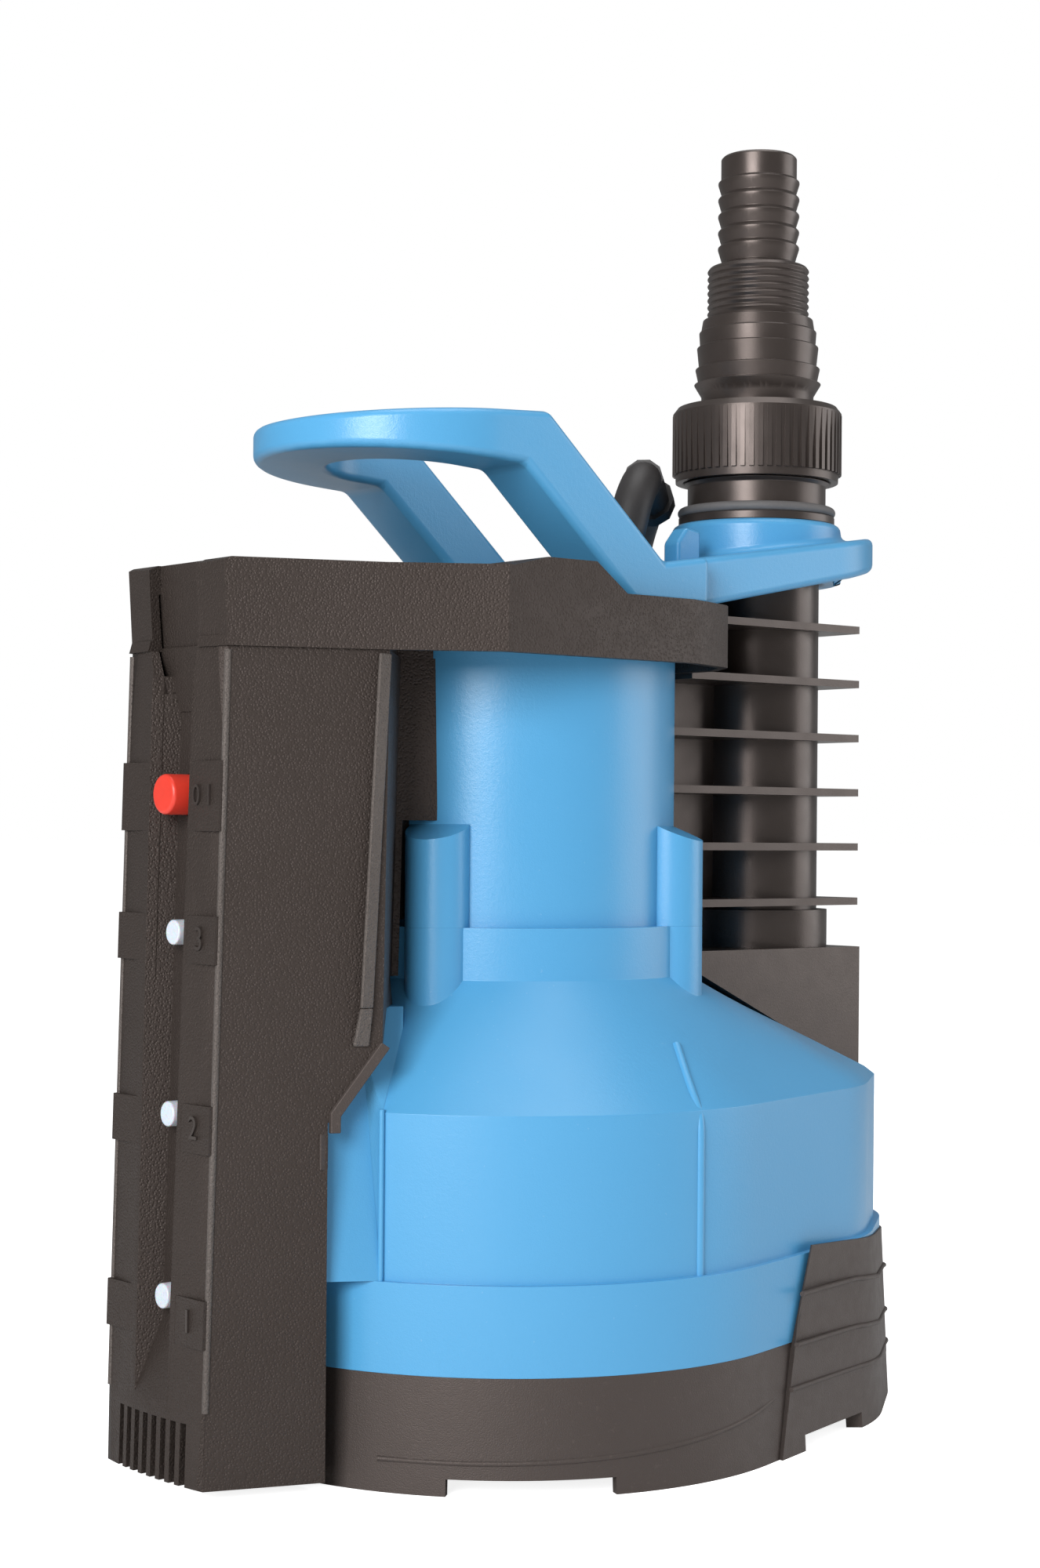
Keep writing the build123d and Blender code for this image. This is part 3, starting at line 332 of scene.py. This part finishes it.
def tube(name, points, radius, material, sides=3, steps=12):
    """A round bar on one smooth curve through its control points, with steps between two."""
    curve = bpy.data.curves.new(name, "CURVE")
    curve.dimensions = "3D"
    spline = curve.splines.new("NURBS")
    spline.points.add(len(points) - 1)
    for slot, point in zip(spline.points, points):
        slot.co = (*at(*point), 1)
    spline.order_u = 3
    spline.use_endpoint_u = True
    spline.resolution_u = steps
    curve.bevel_depth = radius * MM
    curve.bevel_resolution = sides
    curve.use_fill_caps = True
    curve.materials.append(material)
    bar = add_object(name, curve)
    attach(bar, "root")
    return bar


def plate(name, corners, thick, material, bevel=0.3):
    """A thin raised plate: its outer corners in order, and the vector of its thickness."""
    bm = bmesh.new()
    front, back = ([bm.verts.new(at(x + step * thick[0], y + step * thick[1], z + step * thick[2]))
                    for x, y, z in corners] for step in (0, 1))
    bm.faces.new(front)
    bm.faces.new(reversed(back))
    for k in range(len(corners)):
        following = (k + 1) % len(corners)
        bm.faces.new((front[k], back[k], back[following], front[following]))
    bmesh.ops.recalc_face_normals(bm, faces=bm.faces)
    piece_from(bm, name, material, bevel=bevel)


# =================================================================================================
# Inner pieces, which keep the CAD's shape
# =================================================================================================
for node, material in (
        ("suction_plate", BLACK_FINE), ("volute", BLACK_FINE), ("impeller", BLACK_FINE),
        ("impeller_nut", STEEL), ("bearing_bracket", BLACK_FINE), ("shaft_seal", BLACK_RUBBER),
        ("bearing_outer_rings", STEEL), ("bearing_inner_rings", STEEL), ("bearing_balls", STEEL),
        ("shaft", STEEL), ("rotor_core", SHEET_STEEL), ("stator_core", SHEET_STEEL),
        ("stator_windings", COPPER), ("housing_o_ring", BLACK_RUBBER), ("housing_screws", STEEL),
        ("base_screws", STEEL), ("control_board", CIRCUIT), ("selector_switch", BLACK),
        ("run_capacitor", NICKEL), ("handle_screws", STEEL), ("adapter_gasket", BLACK_RUBBER),
        ("plug_pins", NICKEL)):
    paint(node, material)


# =================================================================================================
# Outer pieces, which are rounded, and reshaped where the CAD is plainer than the photo
# =================================================================================================
TOWER_TOP = 230.0
PAD_TOP, PAD_END = 131.5, -92.5  # the casing's pad, which the tower stands against
TOWER_SHIFT, MOULD_LEAN, CREASE_LEAN = 1.5, 0.0265, 0.03
WING_Y = 30  # further out, the tower's back edge leans as its crease does
FACE_X, FACE_Z = -119, 20.5  # the tower's front face, above its vents
GROOVE_WALL = (5, 6.6)  # where the CAD's straight wall stands
GROOVE_LEAD_IN_Z, GROOVE_MOUTH = 219, 10.4
GROOVE_FOOT_Z, GROOVE_FOOT = 30, 8.3
PLATE_ENDS_Z = (41, 54, 93, 106, 144, 157, 180, 199)  # lower and upper ends of the label plates
PLATE_SIDES_Y, PLATE_SPREAD = (8.5, 22.5), 2.3
PLATE_X, PLATE_SINK = -121.45, 0.3
CLOSE = 0.1  # a point so near to a plane lies on it
PEG_HEAD_X, PEG_PROUD = -116, 1.3
# The foot of the cap's slope beside the handle: where the CAD has it, and how far it moves
SLOPE_FOOT_X, SLOPE_FOOT_Y, SLOPE_FOOT_Z, SLOPE_FOOT_SHIFT = (5, 11), 50, 247, -14.4
# The cap's end over the tower: where it starts, its flare, and its lower edge and overhang
HOOD_X, HOOD_FLARE, HOOD_LIP_Z, HOOD_LIP_Y, HOOD_OVERHANG = -60, 0.085, 231, 20, (-0.7, 0.8)
# The pad's top corner lies beyond these x, y and z
PAD_CORNER, PAD_CORNER_SINK = (-70, 34, 110), 9
# The base's shoe stands outside this radius, and its top edge above this height
SHOE_R, SHOE_TOP_Z = 90.5, 50
SHOE_FRONT_R, SHOE_FRONT_SHIFT = 93, 3.5
SHOE_RISE, SHOE_FALL, SHOE_FALL_START, SHOE_FALL_LENGTH = 6.5, 8, 91, 54


def lean_at(z):
    """How far the tower's front is moved at a height."""
    return TOWER_SHIFT - MOULD_LEAN * (TOWER_TOP - z)


def tower_shape(x, y, z):
    """The tower widens towards the ground, except where it stands against the casing's pad; its
    groove opens outwards and its label plates run to the corners."""
    side, reach = copysign(1, y), abs(y)
    if x > PAD_END and z < PAD_TOP:
        return 0, 0, 0
    dx, dy = lean_at(z), 0
    if x > PAD_END and reach > WING_Y:
        return dx - CREASE_LEAN * (TOWER_TOP - z), 0, 0
    if x < FACE_X and z > FACE_Z:
        on_plate = min(abs(z - height) for height in PLATE_ENDS_Z) < CLOSE
        on_wall = GROOVE_WALL[0] < reach < GROOVE_WALL[1]
        if on_wall or (z > GROOVE_LEAD_IN_Z and reach < GROOVE_MOUTH):
            dy = side * ((GROOVE_MOUTH if z > GROOVE_FOOT_Z else GROOVE_FOOT) - reach)
        elif on_plate and min(abs(reach - edge) for edge in PLATE_SIDES_Y) < CLOSE:
            dy = side * PLATE_SPREAD
        if on_plate and x < PLATE_X:
            dx += PLATE_SINK
    return dx, dy, 0


def peg_shape(x, y, z):
    """The frosted heads move with the tower and stand nearly level with its face."""
    return lean_at(z) - (PEG_PROUD if x < PEG_HEAD_X else 0), 0, 0


def cap_shape(x, y, z):
    """The hood's end flares upwards, overhangs the tower and drops steeply beside the handle."""
    beside_handle = SLOPE_FOOT_X[0] < x < SLOPE_FOOT_X[1] and abs(y) > SLOPE_FOOT_Y
    if beside_handle and z > SLOPE_FOOT_Z:
        return SLOPE_FOOT_SHIFT, 0, 0
    if x > HOOD_X:
        return 0, 0, 0
    dx = max(0.0, TOWER_SHIFT - HOOD_FLARE * (z - TOWER_TOP))
    if z < HOOD_LIP_Z and (abs(y) > HOOD_LIP_Y or x < FACE_X):
        return dx + HOOD_OVERHANG[0], copysign(HOOD_OVERHANG[1], y), 0
    return dx, 0, 0


def casing_shape(x, y, z):
    """The pad's top corners sink into the cone."""
    at_corner = x < PAD_CORNER[0] and abs(y) > PAD_CORNER[1] and z > PAD_CORNER[2]
    return 0, -copysign(PAD_CORNER_SINK if at_corner else 0, y), 0


def base_shape(x, y, z):
    """The shoe's top edge falls from its raked front corner to its back."""
    r = hypot(x, y)
    if z < SHOE_TOP_Z or r < SHOE_R:
        return 0, 0, 0
    along = min(1, (r - SHOE_FALL_START) / SHOE_FALL_LENGTH)
    return (SHOE_FRONT_SHIFT if r < SHOE_FRONT_R else 0), 0, SHOE_RISE - SHOE_FALL * along


rounded_node("strainer_base", BLACK_FINE, 0.9, shape=base_shape)
rounded_node("pump_casing", BLUE, 2.2, sharp=20, segments=3, shape=casing_shape)
rounded_node("motor_housing", BLUE, 1.4, segments=3)
rounded_node("sensor_tower", BLACK_GRAIN, 0.8, shape=tower_shape)
rounded_node("sensor_pegs", WHITE, 0.9, segments=3, shape=peg_shape)
rounded_node("selector_button", RED)
rounded_node("top_cap", BLACK_GRAIN, 1.4, segments=3, shape=cap_shape)
handle = rounded_node("handle", BLUE, 2.4, segments=4, merge=0.8)
handle.modifiers["rounded_edges"].use_clamp_overlap = False
rounded_node("pressure_pipe", BLACK, 0.5)
rounded_node("threaded_outlet", BLACK_GLOSS, 0.2)
rounded_node("outlet_o_ring", GREY_RUBBER)
rounded_node("hose_adapter", BLACK_GLOSS, 0.2)
rounded_node("union_nut", BLACK_GLOSS, 0.3)
rounded_node("cable_boot", BLACK_RUBBER, 0.4)
rounded_node("plug_body", BLACK_RUBBER, 0.6)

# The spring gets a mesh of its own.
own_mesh(rounded_node("button_spring", STEEL))


# =================================================================================================
# Small mouldings that the CAD leaves plain
# =================================================================================================
SIDES = ((-1, "near"), (1, "far"))  # the sign of y, and the name's ending
CASING_CREASE = ((5.6, 69.2, 120), (2.4, 76.7, 112), (0.4, 82.4, 106), (0, 85.5, 101),
                 (0, 85.5, 90), (0, 85.5, 57))
PAD_CREASE = ((-76.9, 40, 104), (-76.9, 40, 57))
SKIRT_R, SKIRT_DRAFT, SKIRT_SINK = 90, 2 / 32, 0.1  # the base's wall round the motor
SHOE_OUTLINE = ((38.9, 82.5), (82.0, 68.8), (88.6, 66.8), (96.3, 62.5), (102.3, 59.1),
                (105.8, 56.2), (126.9, 38.8), (131.7, 35.3), (136.3, 28.9), (139.5, 22.1),
                (142.6, 17.5), (144.5, 10.1), (145.5, 0))
SKIRT_START, SKIRT_STEP, SKIRT_Z, SKIRT_CLIMB = 152, 8.9, 9, 0.0103  # degrees, then millimetres
SHOE_FOOT_Z, SHOE_TAPER, SHOE_RAKE, SHOE_OUT = 13, 0.0003, 0.19, 0.04
TREADS = ((19.3, 13.9), (32, 22.3), (46.5, 36.5))  # heights at the shoe's front and back
PANEL_X, PANEL_Y, PANEL_RISE, PANEL_RUN = -119.5, 24.5, 17.1, 41.5  # the tower's side panel
RIM = ((-89.0, 98.0), (-89.0, 102.5), (-76.4, 121.0), (-78.6, 122.6), (-91.6, 103.6), (-91.6, 98.0))
STEP = ((-94.2, 88), (-91.6, 88), (-91.6, 98), (-94.2, 98))
CREASE = ((-81.4, 229), (-77.4, 229), (-77.4, 132), (-81.4, 132))
CREASE_Y, CREASE_FOOT_Z, CREASE_FOOT_SHIFT = 42.1, 121.5, -0.5
STEP_X, STEP_PROUD = -93, 0.2
PROUD = 0.9  # how far the rim and the crease's foot stand off the panel
RIM_THICK, STRIP_THICK, STRIP_EDGE = 1.4, 1.2, 0.5
CORNER_X, CORNER_Y, CORNER_Z = -119.3, 24.3, (229, 24)


def mirrored(sign, points):
    return [(x, sign * y, z) for x, y, z in points]


def skirt_crease(sign):
    """A line on the base's leaning wall, which climbs ever faster towards the shoe."""
    points = []
    for k in range(11):
        angle = radians(sign * (SKIRT_START - SKIRT_STEP * k))
        z = SKIRT_Z + SKIRT_CLIMB * k ** 3
        r = SKIRT_R - SKIRT_DRAFT * z - SKIRT_SINK
        points.append((r * cos(angle), r * sin(angle), z))
    return points


def shoe_tread(sign, front, back):
    """A line round the shoe: it starts on the raked front corner and falls towards the back."""
    points = []
    for k, (x, y) in enumerate(SHOE_OUTLINE):
        z = front + (back - front) * k / (len(SHOE_OUTLINE) - 1)
        above = z - SHOE_FOOT_Z
        trim = 1 - SHOE_TAPER * above
        rake, out = (SHOE_RAKE * above, SHOE_OUT) if k == 0 else (0, 0)
        points.append((trim * x + rake, sign * trim * y + sign * out, z))
    return points


def panel_y(x):
    """Half-width of the tower's side panel at x, on its outer surface."""
    return PANEL_Y + (x - PANEL_X) * PANEL_RISE / PANEL_RUN


for sign, tag in SIDES:
    tube(f"casing_crease_{tag}", mirrored(sign, CASING_CREASE), 1.4, BLUE)
    tube(f"pad_crease_{tag}", mirrored(sign, PAD_CREASE), 0.8, BLUE)
    tube(f"skirt_crease_{tag}", skirt_crease(sign), 0.8, BLACK_FINE)
    for number, (front, back) in enumerate(TREADS):
        tube(f"shoe_tread_{tag}_{number}", shoe_tread(sign, front, back), 0.75, BLACK_FINE)

for sign, tag in SIDES:
    rim = [(x, sign * (panel_y(x) + PROUD), z) for x, z in RIM]
    plate(f"tower_rim_{tag}", rim, (0, -sign * RIM_THICK, 0), BLACK_FINE)
    inwards = (0, -sign * STRIP_THICK, 0)
    step = [(x, sign * (panel_y(STEP_X) + STEP_PROUD), z) for x, z in STEP]
    plate(f"tower_step_{tag}", step, inwards, BLACK_FINE)

    lean = MOULD_LEAN + CREASE_LEAN
    crease = [(x + TOWER_SHIFT - lean * (TOWER_TOP - z), sign * CREASE_Y, z) for x, z in CREASE]
    # The crease strip and its foot are painted lighter: a painted highlight on the tower's crease.
    plate(f"tower_crease_{tag}", crease, inwards, PAINTED_HIGHLIGHT_EDGE, bevel=STRIP_EDGE)
    right, left = crease[2][0], crease[3][0]
    foot = [(x + CREASE_FOOT_SHIFT, sign * (panel_y(x) + PROUD), CREASE_FOOT_Z)
            for x in (left, right)]
    plate(f"tower_crease_foot_{tag}", crease[2:] + foot, inwards, PAINTED_HIGHLIGHT_EDGE, bevel=STRIP_EDGE)

    corner = [(CORNER_X + lean_at(z), -sign * CORNER_Y, z) for z in CORNER_Z]
    # The corner bar is painted lighter: a painted highlight on the tower's front corner.
    tube(f"tower_corner_{tag}", corner, 1.0, PAINTED_HIGHLIGHT_EDGE)

# The groove's upper end, in the tower and in the cap
plate("groove_lead_in", [(-116.0, -14, 231), (-116.0, 14, 231), (-113.9, 8.5, 213),
                         (-113.9, -8.5, 213)], (1.5, 0, 0), BLACK_GRAIN)
plate("cap_slot", [(-114.8, -14, 229), (-114.8, 14, 229), (-114.8, 14, 252), (-114.8, -14, 252)],
      (1.5, 0, 0), BLACK_GRAIN)

# A guide for the lead beside the outlet's collar
plate("lead_guide", [(57, -13, 265), (67, -13, 266), (67, -13, 276), (61, -13, 277),
                     (57, -13, 272)], (0, 7, 0), BLUE, bevel=1.2)

# The boot's bent sleeve and its lipped mouth
tube("boot_sleeve", [(61, 8, 294.3), (66.5, 12.8, 293.2), (76, 21, 288.2)], 6.5, BLACK_RUBBER)
tube("boot_mouth", [(73.2, 18.6, 289.8), (74.6, 19.8, 289.0), (76.4, 21.4, 287.9)], 8.2,
     BLACK_RUBBER)


def mark_on_tower(name, text, y, z, size):
    """A plain raised number on the tower's label plate."""
    middle_x, half_depth = -121.5, 0.4
    curve = bpy.data.curves.new(name, "FONT")
    curve.body = text
    curve.size = size * MM
    curve.extrude = half_depth * MM
    curve.align_x = "CENTER"
    curve.align_y = "CENTER"
    curve.materials.append(BLACK_GLOSS)
    mark = add_object(name, curve)
    bpy.context.view_layer.update()
    drawn = mark.evaluated_get(bpy.context.evaluated_depsgraph_get())
    bm = bmesh.new()
    bm.from_mesh(bpy.data.meshes.new_from_object(drawn))
    bpy.data.objects.remove(mark)
    bm.transform(Matrix.Rotation(radians(90), 4, "X"))
    bm.transform(Matrix.Rotation(radians(-90), 4, "Z"))
    bm.transform(Matrix.Translation(at(middle_x + lean_at(z), y, z)))
    piece_from(bm, name, BLACK_GLOSS)


for text, z in (("3", 150.5), ("2", 99.5), ("1", 47.5)):
    mark_on_tower(f"level_mark_{text}", text, -17.6, z, 9)
mark_on_tower("switch_mark", "0 1", -17.4, 189.5, 8)


# =================================================================================================
# Mains lead: free stretch, put-away coil and tail as one curve
# =================================================================================================
LEAD_D = 8.5
LEAD_ROUTE = [(69, 15, 292), (80.7, 25.3, 288.3), (90.7, 41.1, 281), (99.3, 56.5, 264.8),
              (105, 67, 239.6), (106, 70.6, 205), (106.3, 72.4, 160), (105.5, 73, 115),
              (104.3, 72.4, 76), (104, 72, 48.6), (108.3, 79.1, 28.3), (116.6, 92.2, 12.7),
              (127.4, 109.8, 4.4)]
TAIL_ROUTE = [(75.7, 6.6, 51.3), (67.3, 34.3, 57), (46.6, 53.6, 62), (21.16, 61.46, 66),
              (1.24, 59.72, 66)]  # from the coil's middle
COIL_X, COIL_Y, COIL_MEAN_R, COIL_START = 72.1, 166.0, 63.65, -30.0
TURN_PITCH, COLUMNS, LAYERS = 8.5, 4, 6
STEPS, STEP_OVER = 12, 4  # points of a turn, and how many of them cross to the next turn


def coil_points():
    """Control points of the coil's turns: each layer runs in or out, and the next lies on it."""
    points = []
    outer = COIL_MEAN_R + (COLUMNS - 1) / 2 * TURN_PITCH
    bulge = 2 / (1 + cos(pi / STEPS))  # the curve cuts inside its control points
    for turn in range(COLUMNS * LAYERS):
        layer, column = divmod(turn, COLUMNS)
        inwards = layer % 2 == 0
        here = outer - TURN_PITCH * (column if inwards else COLUMNS - 1 - column)
        change = -TURN_PITCH if inwards else TURN_PITCH
        last = column == COLUMNS - 1
        for step in range(STEPS):
            share = max(0, step - (STEPS - STEP_OVER)) / STEP_OVER
            r = (here + (0 if last else change * share)) * bulge
            z = TURN_PITCH * (layer + 0.5 + (share if last and layer < LAYERS - 1 else 0))
            angle = radians(COIL_START + 360 * step / STEPS)
            points.append((r * cos(angle), r * sin(angle), z))
    return points


in_coil = [(COIL_X + x, COIL_Y + y, z) for x, y, z in coil_points() + TAIL_ROUTE]
lead = tube("mains_lead_run", LEAD_ROUTE + in_coil, LEAD_D / 2, BLACK_RUBBER, sides=5, steps=6)
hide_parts("mains_lead", "lead_coil")


# =================================================================================================
# Floor, light and camera. Places and sizes here are in metres.
# =================================================================================================
PHOTO_H = 2000
EYE = (SHAFT_X - 0.513, -0.628, 0.180)
LOOK = (0.636, 0.772, 0.0)
FOCAL_PX, HORIZON_Y, LEAN = 3400.0, 1063.0, 0.45  # in the photo's pixels, and in degrees
FLOOR_SIZE = 40
LIT_MIDDLE = (0, 0, 0.2)
LAMPS = (("left_softbox", (-1.4, -0.7, 0.7), 27, 0.8),
         ("right_softbox", (1.5, -0.9, 0.5), 11, 1.2),
         ("top_softbox", (0.1, -0.1, 1.6), 8, 1.0))  # name, place, watts and width
WHITE_LIGHT = (1, 1, 1, 1)
WORLD_LIGHT, WORLD_SEEN = 0.24, 1.0


def pale_floor():
    """A white ground that keeps the contact shadow and melts into the background."""
    n = Nodes("studio_floor")
    n.fix(Base_Color=(0.9, 0.9, 0.9, 1), Roughness=0.9, Specular_IOR_Level=0.0,
          Emission_Color=(0.85, 0.85, 0.85, 1))
    ray = n.add("ShaderNodeLightPath")
    n.join(ray.outputs["Is Camera Ray"], n.shader.inputs["Emission Strength"])
    bm = bmesh.new()
    bmesh.ops.create_grid(bm, x_segments=1, y_segments=1, size=FLOOR_SIZE)
    floor = add_object("studio_floor", mesh_from(bm, "studio_floor", n.material))


def softbox(name, place, watts, width):
    """A square lamp that faces the object's middle."""
    data = bpy.data.lights.new(name, "AREA")
    data.energy = watts
    data.size = width
    lamp = add_object(name, data)
    lamp.location = place
    aim = Vector(LIT_MIDDLE) - Vector(place)
    lamp.rotation_euler = aim.to_track_quat("-Z", "Y").to_euler()


def white_world():
    """An even dim light that looks white to the camera."""
    world = bpy.data.worlds.new("studio")
    bpy.context.scene.world = world
    world.use_nodes = True
    nodes, join = world.node_tree.nodes, world.node_tree.links.new
    light = nodes["Background"]
    shown = nodes.new("ShaderNodeBackground")
    for background, strength in ((light, WORLD_LIGHT), (shown, WORLD_SEEN)):
        background.inputs["Color"].default_value = WHITE_LIGHT
        background.inputs["Strength"].default_value = strength
    ray = nodes.new("ShaderNodeLightPath")
    pick = nodes.new("ShaderNodeMixShader")
    seen = nodes.new("ShaderNodeMath")
    seen.operation = "MAXIMUM"
    join(ray.outputs["Is Camera Ray"], seen.inputs[0])
    join(ray.outputs["Is Transmission Ray"], seen.inputs[1])
    join(seen.outputs[0], pick.inputs["Fac"])
    join(light.outputs[0], pick.inputs[1])
    join(shown.outputs[0], pick.inputs[2])
    join(pick.outputs[0], nodes["World Output"].inputs["Surface"])


def photo_camera():
    """The photograph's camera: level, turned a little about its line of sight, and shifted."""
    data = bpy.data.cameras.new("photo_camera")
    data.sensor_width = 36
    data.lens = FOCAL_PX / PHOTO_H * data.sensor_width
    data.shift_y = (HORIZON_Y - PHOTO_H / 2) / PHOTO_H
    data.clip_start = 0.05
    camera = add_object("photo_camera", data)
    camera.location = EYE
    level_turn = Vector(LOOK).to_track_quat("-Z", "Y").to_matrix()
    camera.rotation_euler = (level_turn @ Matrix.Rotation(radians(LEAN), 3, "Z")).to_euler()
    bpy.context.scene.camera = camera


pale_floor()
white_world()
for lamp_row in LAMPS:
    softbox(*lamp_row)
photo_camera()
bpy.context.scene.view_settings.view_transform = "Standard"
